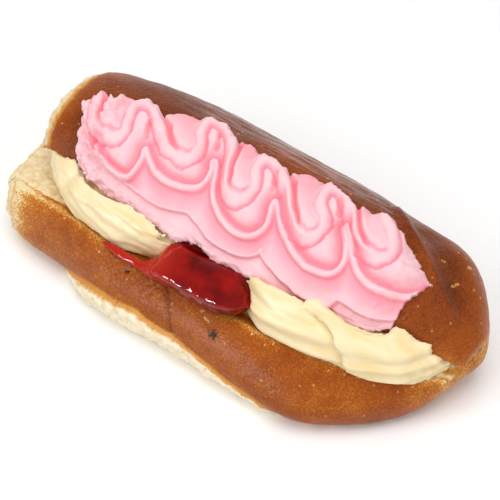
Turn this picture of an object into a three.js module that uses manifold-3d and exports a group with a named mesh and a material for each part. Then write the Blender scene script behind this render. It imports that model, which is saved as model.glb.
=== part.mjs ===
// Cream finger bun: a long soft bun, slit along its front and still joined at the back, filled with
// piped cream and a spoonful of jam, with a fluted rope of pink icing piped in waves along the lid.
// X runs along the bun, Y from the open front to the back, Z up. All sizes are in millimetres.
import * as THREE from 'three';
import { mergeVertices } from 'three/addons/utils/BufferGeometryUtils.js';
import Module from 'manifold-3d';

const { clamp, lerp, smoothstep } = THREE.MathUtils;

// Driving dimensions
const BUN_LENGTH = 169;
const HALF_LENGTH = BUN_LENGTH / 2;
const GAP = 0.3; // clearance kept between pieces that touch

// The bun's section half way along, as [y, z]. The crust goes from the base's lip, underneath and over
// the back to the lid's lip. The slit goes from the lid's lip in to the hinge and out to the base's lip.
const BASE_LIP = [-27.5, 25.5];
const LID_LIP = [-17, 38];
const HINGE = [25, 25];
const BASE_CRUST = [
  BASE_LIP, [-33, 21.5], [-36.3, 12], [-34.5, 3.5], [-30, 0], [29, 0], [34, 4], [36.5, 17],
];
const LID_CRUST = [[33, 36], [21, 47.5], [6, 51], [-8.5, 48], LID_LIP];
const LID_CUT = [LID_LIP, [-5, 36.5], [12, 32], [22, 28.5], HINGE];
const BASE_CUT = [[21, 22], [6, 21], [-14, 22], BASE_LIP];
const SPINE_Z = 20; // height about which the section shrinks towards the ends

// How the section changes along the bun: [share of the half length, factor]
const frontReach = along(
  [-1, 0.72], [-0.66, 0.82], [-0.38, 0.97], [0, 1.03], [0.28, 1.06], [0.6, 0.88], [0.85, 0.59], [1, 0.42],
);
const backReach = along(
  [-1, 0.97], [-0.6, 1.08], [-0.35, 1.11], [-0.1, 1.09], [0.15, 1.04], [0.4, 0.98], [0.55, 0.92],
  [0.8, 0.87], [1, 0.75],
);
const crownRise = along(
  [-1, 0.84], [-0.6, 1.03], [-0.2, 1.02], [0.3, 1], [0.5, 0.97], [0.8, 0.86], [1, 0.66],
);
// How far the lid is lifted at its lip, and how far its ends are drawn in along the bun
const gape = along([-1, 3], [-0.5, 1], [0, 0], [0.4, -1.5], [0.8, -4], [1, -8]);
const tuck = along([-1, 10], [-0.75, 7], [-0.5, 1], [-0.3, 0], [0.8, 0], [1, -1.5]);
const HINGE_TUCK = 0.35; // share of the tuck that is left at the hinge
// How far the base's lip sags, and how far its foot swells out at the front
const sag = along([-1, 3], [-0.75, 1], [-0.5, 0], [0.35, 0], [0.62, 3], [0.83, 5.5], [1, 6]);
const swell = along([-1, 0], [0.2, 0], [0.38, 2.5], [0.54, 5], [0.7, 2.5], [0.9, 0], [1, 0]);
// How far the right end of the base's front is drawn in along the bun
const shorten = along([-1, 0], [0.5, 0], [0.75, 1], [0.9, 3], [1, 5]);
// The ends: how far in from each end the rounding starts and how square it is
const LEFT_END = { reach: 15, square: 2.6 };
const RIGHT_END = { reach: 24, square: 2.2 };
const END_CAP = 0.94; // share of that rounding that is followed before the flat cap

// Cream: a fat rope in the slit with blunt ends, and how far behind the base's lip its front is
const CREAM_START = -73;
const CREAM_END = 79;
const CREAM_HALF_THICK = 13;
const CREAM_BACK = 24;
const CREAM_SQUARE = 0.7;
const CREAM_BLUNT = 8;
const CREAM_END_LEAST = 0.02;
const creamInset = along(
  [-1, 5], [-0.75, 2.5], [-0.55, -0.2], [-0.3, 2.5], [-0.05, 9], [0.17, 8], [0.32, 0.5], [0.5, -0.5],
  [0.7, -2.5], [0.85, -6.5], [1, -2],
);

// Jam: where it runs along the lip, the half thickness of its tail, its half depth and half height, and how
// far its middle lies in from the lip and above it. The shares of its run are where the tail fills out and
// tapers, where the spoonful swells from the tail, and where it lifts and closes.
const JAM_START = -36;
const JAM_END = 21.5;
const JAM_TAIL = 1.8;
const JAM_DEEP = 8;
const JAM_TALL = 7.5;
const JAM_END_RISE = 2;
const JAM_IN = 0.65 * JAM_DEEP;
const JAM_UP = 0.6 * JAM_TALL;
const JAM_TAIL_UP = 1;
const JAM_TAIL_FILLS = { least: 0.05, rate: 6 };
const JAM_TAIL_TAPERS = { least: 0.1, blunt: 12 };
const JAM_SWELLS = [0.33, 0.47];
const JAM_LIFTS = [0.6, 1];
const JAM_CLOSES = { from: 0.75, least: 0.03 };

// Icing: the nozzle's way in leaning waves, as x and the way t over the lid's crust from its lip
const NOZZLE_WAY = [
  [-58, 21], [-55, 16], [-50, 12.5], [-43, 12.5], [-39.5, 14.5], [-41, 19], [-41.5, 23], [-38, 25],
  [-33, 23], [-27, 18.7], [-20, 16.8], [-16, 17], [-15, 20], [-18.5, 26], [-18.5, 30.5], [-14, 30.7],
  [-7.5, 26], [-3.5, 19], [1.5, 15.4], [5.5, 15.7], [7, 19], [3.8, 25], [4.5, 28.4], [9, 28],
  [16, 22.3], [21, 17.8], [26, 15.2], [30.5, 15.3], [31.7, 18.5], [26.5, 25], [27, 29.5], [31, 29.3],
  [36.5, 24.8], [41, 19.5], [46, 17.3], [51.5, 17.2], [52.8, 19.5], [50, 23.5], [45, 27.8],
];
// Its front and back edges there, from its start to its end
const ICING_START = -61.5;
const ICING_END = 65;
const icingFront = through(
  [ICING_START, 15], [-59, 7], [-55, 0], [-47, -3], [-33, -3.5], [-15, -5], [3, -3.5], [16, -4.5],
  [33, -3.5], [48, -5], [57, -4.5], [61, -1], [61.5, 8], [64, 11], [ICING_END, 18],
);
const icingBack = through(
  [ICING_START, 16], [-57, 22], [-53, 24], [-50, 23.5], [-47, 26.5], [-41, 28], [-37, 28.2], [-32, 26.5],
  [-27, 35], [-18, 34], [-13, 33.8], [-9, 31], [-4, 35], [5, 31.6], [13, 30.5], [18, 36], [28, 32.8],
  [35.5, 30], [37.5, 32.5], [43, 31.5], [52, 28], [58, 24], [63, 20], [ICING_END, 18],
);
// The fluted rope: its height down the front by the distance from the way, and its back, a tongue inside
// every front bend that is folded against the stroke before it and falls away towards the back
const ROPE_HEIGHT = 9.6;
const ropeFront = through(
  [0, ROPE_HEIGHT], [1.7, 9.3], [2.9, 7], [5.2, 7.9], [7.9, 5], [9.4, 6.4], [11.5, 4.9], [14.6, 4.4],
  [15.6, 2.8], [20, 2.2], [24, 1.6],
);
const TONGUE_DEPTH = 0.5;
const TONGUE_ROOM = [2, 9]; // the way across a bend in which the tongue forms
const tongueDrop = through(
  [0, 0], [0.13, 0.06], [0.25, 0.42], [0.42, 0.22], [0.6, 0.1], [0.68, 0.25], [0.76, 1], [0.84, 0.3],
  [0.91, 0.04], [1, 0],
);
const TONGUE_FALL = { share: 0.55, from: 20, over: 17 };
const OFF_CREST = [1.6, 5]; // the distance from the way over which that fall sets in
// The rope's edges: the front thins to a share of its height, and the back rolls off
const FRONT_THIN = { share: 0.35, over: 4 };
const ROLL_OFF = { over: 3, power: 0.45 };
const ICING_EDGE = 1.2;
const HANG = new THREE.Vector3(0, -0.6, -0.8); // the way that icing past the lid's lip hangs
const ICING_SINK = 0.6; // how far the rope's underside is sunk before the lid is cut out of it

// How finely the surfaces are divided
const BUN_STATIONS = 36;
const CRUST_STEPS = 30;
const CUT_STEPS = 18;
const CREAM_STATIONS = 30;
const CREAM_SIDES = 22;
const WAY_STEPS = 360;
const ICING_STATIONS = 80;
const ICING_TOP_STEPS = 24;
const ICING_BED_STEPS = 5;
const ICING_LEAST = 3; // the least way across at which a station is kept
const BED_CRUST_STEPS = 240; // of the whole crust, of which the lid's bed keeps the first few
const BED_STEPS = 110;
const JAM_STATIONS = 24;
const JAM_SIDES = 16;

const wasm = await Module();
wasm.setup();

// A smooth value along the bun through [share of the half length, value] keys.
function along(...keys) {
  const spline = new THREE.CubicInterpolant(keys.map((k) => k[0]), keys.map((k) => k[1]), 1);
  return (x) => spline.evaluate(clamp(x / HALF_LENGTH, -1, 1))[0];
}

// A value read off straight lines through [place, value] keys.
function through(...keys) {
  const lines = new THREE.LinearInterpolant(keys.map((k) => k[0]), keys.map((k) => k[1]), 1);
  return (place) => lines.evaluate(clamp(place, keys[0][0], keys.at(-1)[0]))[0];
}

// How much of the full section is left at x, by the rounding of the nearer end.
function endRound(x) {
  const end = x < 0 ? LEFT_END : RIGHT_END;
  const into = Math.max(0, (Math.abs(x) - HALF_LENGTH + end.reach) / end.reach) * END_CAP;
  return (1 - into ** end.square) ** (1 / end.square);
}

// A point of the middle section moved to where it is at x.
function sectionPoint([y, z], x) {
  const round = endRound(x);
  const wide = y < 0 ? frontReach(x) : backReach(x);
  const tall = z > SPINE_Z ? crownRise(x) : 1;
  return new THREE.Vector3(x, y * wide * round, SPINE_Z + (z - SPINE_Z) * tall * round);
}

// How near a point is to the lips: 0 at the hinge and 1 at the lip.
const lipShare = (y, lip) => clamp((HINGE[0] - y) / (HINGE[0] - lip[0]), 0, 1);

// The base's upper points sag, its foot swells out and its right end draws in.
function basePoint(point, x) {
  const moved = sectionPoint(point, x);
  moved.x -= shorten(x) * smoothstep(-point[0], -25, 15);
  moved.z -= sag(x) * lipShare(point[0], BASE_LIP) * smoothstep(point[1], 3, BASE_LIP[1]);
  moved.y -= swell(x) * smoothstep(-point[0], 20, 30) * (1 - smoothstep(point[1], 10, BASE_LIP[1]));
  return moved;
}

// The lid's points lift and draw in.
function lidPoint(point, x) {
  const share = lipShare(point[0], LID_LIP);
  const moved = sectionPoint(point, x);
  moved.x += lerp(HINGE_TUCK, 1, share) * tuck(x);
  moved.z += share * gape(x) * endRound(x);
  return moved;
}

// The crust and the faces of the slit at x, as evenly spaced points
const curveOf = (points) => new THREE.CatmullRomCurve3(points, false, 'centripetal');
function crustAt(x, steps = CRUST_STEPS) {
  const base = BASE_CRUST.map((point) => basePoint(point, x));
  const lid = LID_CRUST.map((point) => lidPoint(point, x));
  return curveOf([...base, ...lid]).getSpacedPoints(steps).map((point) => point.setZ(Math.max(point.z, 0)));
}

function cutAt(x, steps = CUT_STEPS) {
  const lid = LID_CUT.map((point) => lidPoint(point, x));
  const base = BASE_CUT.map((point) => basePoint(point, x));
  return curveOf([...lid, ...base]).getSpacedPoints(steps);
}

// Moves a closed ring of points outwards by a distance, across the bun.
function grown(ring, distance) {
  const count = ring.length;
  return ring.map((point, i) => {
    const run = ring[(i + 1) % count].clone().sub(ring[(i + count - 1) % count]).setX(0).normalize();
    const moved = point.clone();
    moved.y += run.z * distance;
    moved.z -= run.y * distance;
    return moved;
  });
}

// A closed surface through rings of equal count, with flat caps at both ends.
function loft(rings) {
  const count = rings[0].length;
  const index = [];
  for (let r = 0; r + 1 < rings.length; r++) {
    for (let i = 0; i < count; i++) {
      const j = (i + 1) % count;
      const [a, b, c, d] = [r * count + i, r * count + j, (r + 1) * count + j, (r + 1) * count + i];
      index.push(a, b, c, a, c, d);
    }
  }
  const capOf = (ring) => THREE.ShapeUtils.triangulateShape(ring.map((p) => new THREE.Vector2(p.y, p.z)), []);
  const last = (rings.length - 1) * count;
  for (const [a, b, c] of capOf(rings[0])) index.push(a, c, b);
  for (const [a, b, c] of capOf(rings.at(-1))) index.push(last + a, last + b, last + c);
  const geometry = new THREE.BufferGeometry().setFromPoints(rings.flat());
  return geometry.setIndex(index);
}

// Conversions between three.js geometry and solids that can be cut and joined
function solidOf(geometry) {
  const merged = mergeVertices(geometry);
  return new wasm.Manifold(new wasm.Mesh({
    numProp: 3,
    vertProperties: merged.attributes.position.array,
    triVerts: new Uint32Array(merged.index.array),
  }));
}

function geometryOf(solid) {
  const mesh = solid.getMesh();
  const geometry = new THREE.BufferGeometry();
  geometry.setAttribute('position', new THREE.BufferAttribute(mesh.vertProperties, 3));
  geometry.setIndex(new THREE.BufferAttribute(mesh.triVerts, 1));
  geometry.computeVertexNormals();
  return geometry;
}

// Places from start to end, closer together near both ends.
const stations = (start, end, count) =>
  Array.from({ length: count + 1 }, (_, i) =>
    (start + end) / 2 + ((end - start) / 2) * Math.sin((i / count - 0.5) * Math.PI));

// Bun: crust and cut faces make one C-shaped ring at every station.
function makeBun(grow = 0) {
  return solidOf(loft(stations(-HALF_LENGTH, HALF_LENGTH, BUN_STATIONS).map((x) => {
    const ring = [...crustAt(x).slice(0, -1), ...cutAt(x).slice(0, -1)];
    return grow ? grown(ring, grow) : ring;
  })));
}

// Cream: a squarish oval rope that overfills the slit, to be cut back to it.
function makeCream() {
  const half = (CREAM_END - CREAM_START) / 2;
  const centre = (CREAM_END + CREAM_START) / 2;
  const squared = (v) => Math.sign(v) * Math.abs(v) ** CREAM_SQUARE;
  return solidOf(loft(stations(CREAM_START, CREAM_END, CREAM_STATIONS).map((x) => {
    const share = Math.sqrt(Math.max(CREAM_END_LEAST, 1 - ((x - centre) / half) ** CREAM_BLUNT));
    const base = basePoint(BASE_LIP, x);
    const lid = lidPoint(LID_LIP, x);
    const front = base.y + creamInset(x);
    const middle = (lid.z + base.z) / 2;
    const deep = ((CREAM_BACK - front) / 2) * share;
    const thick = CREAM_HALF_THICK * share;
    const ring = [];
    for (let i = 0; i < CREAM_SIDES; i++) {
      const turn = (i / CREAM_SIDES) * 2 * Math.PI;
      const y = (CREAM_BACK + front) / 2 + deep * squared(Math.cos(turn));
      const lean = lerp(middle, HINGE[1], clamp((y - front) / (CREAM_BACK - front), 0, 1));
      ring.push(new THREE.Vector3(x, y, lean + thick * squared(Math.sin(turn))));
    }
    return ring;
  })));
}

// The nozzle's way as close points, with the strokes that run to the back and to the front
const nozzleWay = curveOf(NOZZLE_WAY.map(([x, t]) => new THREE.Vector3(x, t, 0))).getSpacedPoints(WAY_STEPS);
const isRising = (i) => nozzleWay[Math.min(i + 1, WAY_STEPS)].y > nozzleWay[Math.max(i - 1, 0)].y;
const backStrokes = nozzleWay.filter((_, i) => isRising(i));
const frontStrokes = nozzleWay.filter((_, i) => !isRising(i));

// The nearest of some points to a place, and how far it is.
function nearestOf(points, x, t) {
  let least = Infinity;
  let index = 0;
  points.forEach((point, i) => {
    const away = Math.hypot(x - point.x, t - point.y);
    if (away < least) [least, index] = [away, i];
  });
  return [least, index];
}

// The rope's height over the crust at a place on the lid.
function ropeHeight(x, t) {
  const [away, i] = nearestOf(nozzleWay, x, t);
  const from = nozzleWay[Math.max(i - 1, 0)];
  const to = nozzleWay[Math.min(i + 1, WAY_STEPS)];
  const behind = (to.x - from.x) * (t - nozzleWay[i].y) > (to.y - from.y) * (x - nozzleWay[i].x);
  const thin = smoothstep(t, icingFront(x), icingFront(x) + FRONT_THIN.over);
  let height = ropeFront(away) * lerp(FRONT_THIN.share, 1, thin);
  if (behind) {
    const [after] = nearestOf(backStrokes, x, t);
    const [before] = nearestOf(frontStrokes, x, t);
    const across = after + before;
    const drop = TONGUE_DEPTH * tongueDrop(after / across) * smoothstep(across, ...TONGUE_ROOM);
    const down = clamp((t - TONGUE_FALL.from) / TONGUE_FALL.over, 0, 1);
    const fall = TONGUE_FALL.share * down * smoothstep(away, ...OFF_CREST);
    height = ROPE_HEIGHT * (1 - drop - fall);
  }
  const rolled = clamp((icingBack(x) - t) / ROLL_OFF.over, 0, 1) ** ROLL_OFF.power;
  return Math.max(ICING_EDGE, height * rolled);
}

// The lid's crust at x as a polyline from its lip backwards, carried on past the lip.
function lidBed(x) {
  const points = crustAt(x, BED_CRUST_STEPS).reverse().slice(0, BED_STEPS);
  const step = points[0].distanceTo(points[1]);
  return (t, height) => {
    const place = clamp(t / step, 0, points.length - 2);
    const i = Math.floor(place);
    const run = points[i + 1].clone().sub(points[i]).setX(0).normalize();
    const at = points[i].clone().lerp(points[i + 1], place - i);
    if (t < 0) at.addScaledVector(HANG, -t);
    at.y -= run.z * height;
    at.z += run.y * height;
    return at;
  };
}

// Icing: at every station a ring over the rope and back along the bed.
function makeIcing(grow = 0) {
  const rings = [];
  for (let k = 0; k <= ICING_STATIONS; k++) {
    const x = lerp(ICING_START, ICING_END, k / ICING_STATIONS);
    const low = icingFront(x);
    const high = icingBack(x);
    if (high - low < ICING_LEAST) continue;
    const bed = lidBed(x);
    const ring = [];
    for (let i = ICING_TOP_STEPS; i >= 0; i--) {
      const t = lerp(low, high, i / ICING_TOP_STEPS);
      const more = i === ICING_TOP_STEPS ? grow : i === 0 ? -grow : 0;
      ring.push(bed(t + more, GAP + grow + ropeHeight(x, t)));
    }
    for (let i = 0; i <= ICING_BED_STEPS; i++) {
      const more = i === 0 ? -grow : i === ICING_BED_STEPS ? grow : 0;
      ring.push(bed(lerp(low, high, i / ICING_BED_STEPS) + more, -ICING_SINK - grow));
    }
    rings.push(ring);
  }
  for (const point of rings[0]) point.x -= grow;
  for (const point of rings.at(-1)) point.x += grow;
  return solidOf(loft(rings));
}

// Jam: a spoonful over the base's lip with a tail along it, to be cut back to the room there is.
function makeJam(grow = 0) {
  return solidOf(loft(stations(JAM_START - grow, JAM_END + grow, JAM_STATIONS).map((x) => {
    const share = clamp((x - JAM_START) / (JAM_END - JAM_START), 0, 1);
    const fills = Math.min(1, JAM_TAIL_FILLS.least + share * JAM_TAIL_FILLS.rate);
    const tapers = Math.max(JAM_TAIL_TAPERS.least, 1 - share ** JAM_TAIL_TAPERS.blunt);
    const tail = JAM_TAIL * Math.sqrt(fills * tapers);
    const close = Math.sqrt(Math.max(JAM_CLOSES.least, 1 - smoothstep(share, JAM_CLOSES.from, 1) ** 2));
    const rise = smoothstep(share, ...JAM_SWELLS);
    const full = rise * close;
    const deep = lerp(tail, JAM_DEEP, full) + grow;
    const tall = lerp(tail, JAM_TALL, full) + grow;
    const lip = basePoint(BASE_LIP, x);
    const y = lip.y + JAM_IN * rise;
    const z = lip.z + lerp(JAM_TAIL_UP, JAM_UP, rise) + JAM_END_RISE * smoothstep(share, ...JAM_LIFTS);
    const ring = [];
    for (let i = 0; i < JAM_SIDES; i++) {
      const turn = (i / JAM_SIDES) * 2 * Math.PI;
      ring.push(new THREE.Vector3(x, y + deep * Math.cos(turn), z + tall * Math.sin(turn)));
    }
    return ring;
  })));
}

// Each finished piece is a named mesh with its own material.
const group = new THREE.Group();
function addPiece(name, solid, color, roughness) {
  const material = new THREE.MeshStandardMaterial({ color, roughness, metalness: 0 });
  const mesh = new THREE.Mesh(geometryOf(solid), material);
  mesh.name = name;
  group.add(mesh);
}

const bun = makeBun();
const bunRoom = makeBun(GAP);
const icing = makeIcing().subtract(bunRoom);
const icingRoom = makeIcing(GAP);
const cream = makeCream().subtract(bunRoom).subtract(icingRoom).subtract(makeJam(GAP));
const jam = makeJam().subtract(bunRoom).subtract(icingRoom);
addPiece('bun', bun, '#a85a26', 0.55);
addPiece('cream', cream, '#f7e3ae', 0.5);
addPiece('jam', jam, '#8a0f10', 0.15);
addPiece('icing', icing, '#f5a3b5', 0.5);

// The origin is under the middle of the whole, on the surface that it stands on.
const box = new THREE.Box3().setFromObject(group);
const middle = box.getCenter(new THREE.Vector3());
group.position.set(-middle.x, -middle.y, -box.min.z);

export default group;
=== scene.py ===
"""Looks of a cream finger bun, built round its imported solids.

X runs along the bun, Y from the open front to the back, Z up. Sizes below are in millimetres and the
meshes in metres. The bun is a soft brown bread finger, slit along its front; piped cream and a spoonful
of jam fill the slit, and a fluted rope of pink icing lies in waves on the lid.
"""
import math

import bmesh
import bpy
import numpy as np
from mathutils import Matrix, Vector, noise
from mathutils.bvhtree import BVHTree


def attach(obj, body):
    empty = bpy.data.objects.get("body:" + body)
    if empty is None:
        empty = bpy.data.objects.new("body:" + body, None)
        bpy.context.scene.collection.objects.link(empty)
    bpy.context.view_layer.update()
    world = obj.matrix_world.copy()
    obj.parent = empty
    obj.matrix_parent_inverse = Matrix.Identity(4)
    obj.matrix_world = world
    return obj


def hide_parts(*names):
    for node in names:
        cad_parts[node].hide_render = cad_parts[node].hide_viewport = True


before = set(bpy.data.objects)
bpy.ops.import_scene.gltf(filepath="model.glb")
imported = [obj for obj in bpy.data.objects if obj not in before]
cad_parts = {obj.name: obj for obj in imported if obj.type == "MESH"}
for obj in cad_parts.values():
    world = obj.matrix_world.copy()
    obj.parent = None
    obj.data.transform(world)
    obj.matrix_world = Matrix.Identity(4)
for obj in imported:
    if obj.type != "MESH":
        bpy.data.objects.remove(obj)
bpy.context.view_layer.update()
MM = 0.001


# Small tools

# The kinds of node that are used most
MATH = "ShaderNodeMath"
VECTOR_MATH = "ShaderNodeVectorMath"
RANGE = "ShaderNodeMapRange"
MIX = "ShaderNodeMix"
AXES = "ShaderNodeSeparateXYZ"
NOISE = "ShaderNodeTexNoise"
CELLS = "ShaderNodeTexVoronoi"
TONES = "ShaderNodeValToRGB"
BUMP = "ShaderNodeBump"
STORED = "GeometryNodeInputNamedAttribute"
NEAREST = "GeometryNodeSampleNearest"
READ_AT = "GeometryNodeSampleIndex"
LAY_AT = "GeometryNodeSetPosition"


def linear(code):
    """An sRGB hex colour as linear RGBA."""
    channels = [int(code[i:i + 2], 16) / 255 for i in (1, 3, 5)]
    return [*(c / 12.92 if c <= 0.04045 else ((c + 0.055) / 1.055) ** 2.4 for c in channels), 1.0]


def add(tree, kind, links=None, out=0, **settings):
    """Adds a node with its settings and values or links for its inputs; gives one output, or all for None."""
    made = tree.nodes.new(kind)
    for name, value in settings.items():
        setattr(made, name, value)
    for name, value in (links or {}).items():
        if isinstance(value, bpy.types.NodeSocket):
            tree.links.new(value, made.inputs[name])
        else:
            made.inputs[name].default_value = value
    return made.outputs if out is None else made.outputs[out]


def set_curve(node, keys, width=1.0, low=0.0, high=1.0):
    """Gives a Float Curve node its keys, scaled to 0..1."""
    points = node.mapping.curves[0].points
    while len(points) < len(keys):
        points.new(0.5, 0.5)
    for point, (place, value) in zip(points, keys):
        point.location = (place / width, (value - low) / (high - low))
        point.handle_type = "AUTO_CLAMPED"
    node.mapping.update()


def set_tones(node, *tones):
    """Gives a Color Ramp node its tones, each a place and a hex colour, from the first to the last."""
    stops = node.color_ramp.elements
    for stop, (place, code) in zip(stops, (tones[0], tones[-1])):
        stop.position = place
        stop.color = linear(code)
    for place, code in tones[1:-1]:
        stops.new(place).color = linear(code)


def new_rule(name, result, inputs):
    """A Geometry Nodes tree with inputs named under their kinds: the tree, their sockets and their values."""
    tree = bpy.data.node_groups.new(name, "GeometryNodeTree")
    sockets = {}
    for kind, names in inputs.items():
        for label in names:
            sockets[label] = tree.interface.new_socket(label, in_out="INPUT", socket_type="NodeSocket" + kind)
    tree.interface.new_socket(result, in_out="OUTPUT", socket_type="NodeSocketGeometry")
    return tree, sockets, add(tree, "NodeGroupInput", out=None)


def follow_rule(piece, tree, sockets, values):
    """Shapes a piece by a rule, with values for its named inputs, and leaves its plain mesh."""
    rule = piece.modifiers.new("rule", "NODES")
    rule.node_group = tree
    for name, value in values.items():
        rule[sockets[name].identifier] = value
    piece.update_tag()
    bpy.context.view_layer.update()
    settle(piece)


def lumps(places, size, seed=0.0):
    """Smooth random relief, about -1 to 1, with lumps of a size in mm, at places in mm."""
    scaled = (np.asarray(places) / size + seed).tolist()
    return np.array([noise.noise(place, noise_basis="PERLIN_NEW") for place in scaled])


def layered(places, *layers):
    """Lumps in layers, each [height, size, seed] in mm, as one relief."""
    return sum(height * lumps(places, size, seed) for height, size, seed in layers)


def ease(value, start, end):
    """0 before start, 1 after end and smooth between."""
    share = np.clip((value - start) / (end - start), 0, 1)
    return share * share * (3 - 2 * share)


def hump(value, reach):
    """1 at 0, and falling away to both sides over a reach."""
    return np.exp(-(value / reach) ** 2)


def keyed(value, *keys):
    """A value read off [place, value] keys."""
    return np.interp(value, [key[0] for key in keys], [key[1] for key in keys])


def smoothed(line, count):
    """A row of values, each the mean of an odd count of neighbours."""
    return np.convolve(np.pad(line, count // 2, "edge"), np.ones(count) / count, "valid")


def away_from(line, at):
    """The distance in mm of places from a line through points."""
    nearest = np.full(len(at), np.inf)
    for start, end in zip(np.array(line, float), np.array(line[1:], float)):
        run = end - start
        share = np.clip((at - start) @ run / (run @ run), 0, 1)
        nearest = np.minimum(nearest, np.linalg.norm(at - start - share[:, None] * run, axis=1))
    return nearest


def read_vertices(mesh, what):
    """A mesh's vertex places, co, or vertex normals, normal, as rows of three."""
    flat = np.empty(len(mesh.vertices) * 3)
    mesh.vertices.foreach_get(what, flat)
    return flat.reshape(-1, 3)


def places_and_normals(mesh):
    """A mesh's vertices in mm, and which way each one faces."""
    return read_vertices(mesh, "co") / MM, read_vertices(mesh, "normal")


def move_to(mesh, places):
    """Puts a mesh's vertices at places in mm."""
    mesh.vertices.foreach_set("co", (places * MM).ravel())
    mesh.update()


def paint(mesh, name, values):
    """Stores one number a vertex, which a material reads by name."""
    attribute = mesh.attributes.new(name, "FLOAT", "POINT")
    attribute.data.foreach_set("value", np.asarray(values, np.float32))


def softened(mesh, values, rounds):
    """Values averaged with their neighbours', some rounds over."""
    edges = np.empty(len(mesh.edges) * 2, int)
    mesh.edges.foreach_get("vertices", edges)
    a, b = edges.reshape(-1, 2).T
    count = np.bincount(edges, minlength=len(values))
    for _ in range(rounds):
        total = np.bincount(a, values[b], len(values)) + np.bincount(b, values[a], len(values))
        values = (values + total) / (1 + count)
    return values


def surface_of(piece):
    """A piece's surface, for finding what is near it or in line with it."""
    return BVHTree.FromObject(piece, bpy.context.evaluated_depsgraph_get())


def new_piece(name, data):
    piece = bpy.data.objects.new(name, data)
    bpy.context.scene.collection.objects.link(piece)
    return piece


def settle(piece):
    """Turns a piece's modifiers into its plain mesh."""
    graph = bpy.context.evaluated_depsgraph_get()
    mesh = bpy.data.meshes.new_from_object(piece.evaluated_get(graph))
    piece.modifiers.clear()
    piece.data = mesh


SHARP = math.radians(42)  # edges sharper than this keep their corner
CORNER = 0.75  # how hard a kept corner stays
ROUND_LEVELS = 2
SAME_PLACE = 0.01  # vertices nearer than this in mm are one
FLAT_PAIR = 0.6  # two triangles join into a face up to this angle, in radians
SQUARE_PAIR = 0.9  # and up to this departure from a square


def soft_copy(name, node, grain, rounds):
    """A CAD node as one smooth closed mesh of even squares, the grain in mm."""
    form = bmesh.new()
    form.from_mesh(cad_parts[node].data)
    bmesh.ops.remove_doubles(form, verts=form.verts, dist=SAME_PLACE * MM)
    bmesh.ops.join_triangles(
        form, faces=form.faces, angle_face_threshold=FLAT_PAIR, angle_shape_threshold=SQUARE_PAIR,
    )
    crease = form.edges.layers.float.new("crease_edge")
    for edge in form.edges:
        if len(edge.link_faces) == 2 and edge.calc_face_angle() > SHARP:
            edge[crease] = CORNER
    mesh = bpy.data.meshes.new(name)
    form.to_mesh(mesh)
    form.free()
    piece = new_piece(name, mesh)
    round_off = piece.modifiers.new("round", "SUBSURF")
    round_off.levels = round_off.render_levels = ROUND_LEVELS
    even = piece.modifiers.new("even", "REMESH")
    even.mode = "VOXEL"
    even.voxel_size = grain * MM
    smooth = piece.modifiers.new("smooth", "SMOOTH")
    smooth.iterations = rounds
    settle(piece)
    piece.data.shade_smooth()
    return piece


# Bun

BUN_GRAIN = 0.8
bun = soft_copy("finger_bun", "bun", BUN_GRAIN, 3)

# A map of the bun's heights from above, on a grid of x and y
MAP_STEP = (1.0, 0.5)
MAP_X = np.arange(-84.0, 84.1, MAP_STEP[0])
MAP_Y = np.arange(-43.0, 40.1, MAP_STEP[1])
OVER_ALL = 100  # a height in mm above everything


def seen_from_above(piece, xs, ys):
    """Heights in mm of the first surface met from above, on a grid of places in mm."""
    surface = surface_of(piece)
    down = Vector((0, 0, -1))
    heights = np.zeros((len(xs), len(ys)))
    for i, x in enumerate(xs):
        for j, y in enumerate(ys):
            hit = surface.ray_cast(Vector((x, y, OVER_ALL)) * MM, down)[0]
            if hit is not None:
                heights[i, j] = hit.z / MM
    return heights


top_map = seen_from_above(bun, MAP_X, MAP_Y)

LID_STEP = 3.0  # a rise steeper than this a step is the front of the lid
LIP_LEAST = 8  # no lip is lower
LIP_SMOOTH = 7  # places along x over which a lip is evened out


def lip_lines():
    """Where the lid's lip and the base's lip run, as y in mm at each MAP_X."""
    lid, base = [], []
    for heights in top_map:
        rises = np.nonzero((np.diff(heights) > LID_STEP) & (heights[:-1] > LIP_LEAST))[0]
        front = rises[-1] + 1 if len(rises) else int(np.argmax(heights > LIP_LEAST))
        lid.append(MAP_Y[front])
        before = heights[:front] if front else heights
        base.append(MAP_Y[int(np.argmax(before))] if before.max() > LIP_LEAST else MAP_Y[front])
    return [smoothed(line, LIP_SMOOTH) for line in (lid, base)]


lid_lip, base_lip = lip_lines()


def height_above(x, y):
    """The top map's height at places in mm."""
    i = np.clip(np.rint((x - MAP_X[0]) / MAP_STEP[0]).astype(int), 0, len(MAP_X) - 1)
    j = np.clip(np.rint((y - MAP_Y[0]) / MAP_STEP[1]).astype(int), 0, len(MAP_Y) - 1)
    return top_map[i, j]


SLIT_MOST = 34  # the slit is nowhere wider
OFF_CRUST = 0.6  # a look across the slit starts this far off the bread


def slit_faces(at, out):
    """1 where the bun looks at itself across the slit, and 0 on its crust."""
    surface = surface_of(bun)
    faces = np.zeros(len(at))
    for i, (place, way) in enumerate(zip((at + out * OFF_CRUST) * MM, out)):
        faces[i] = surface.ray_cast(place, way, SLIT_MOST * MM)[0] is not None
    return faces


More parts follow.
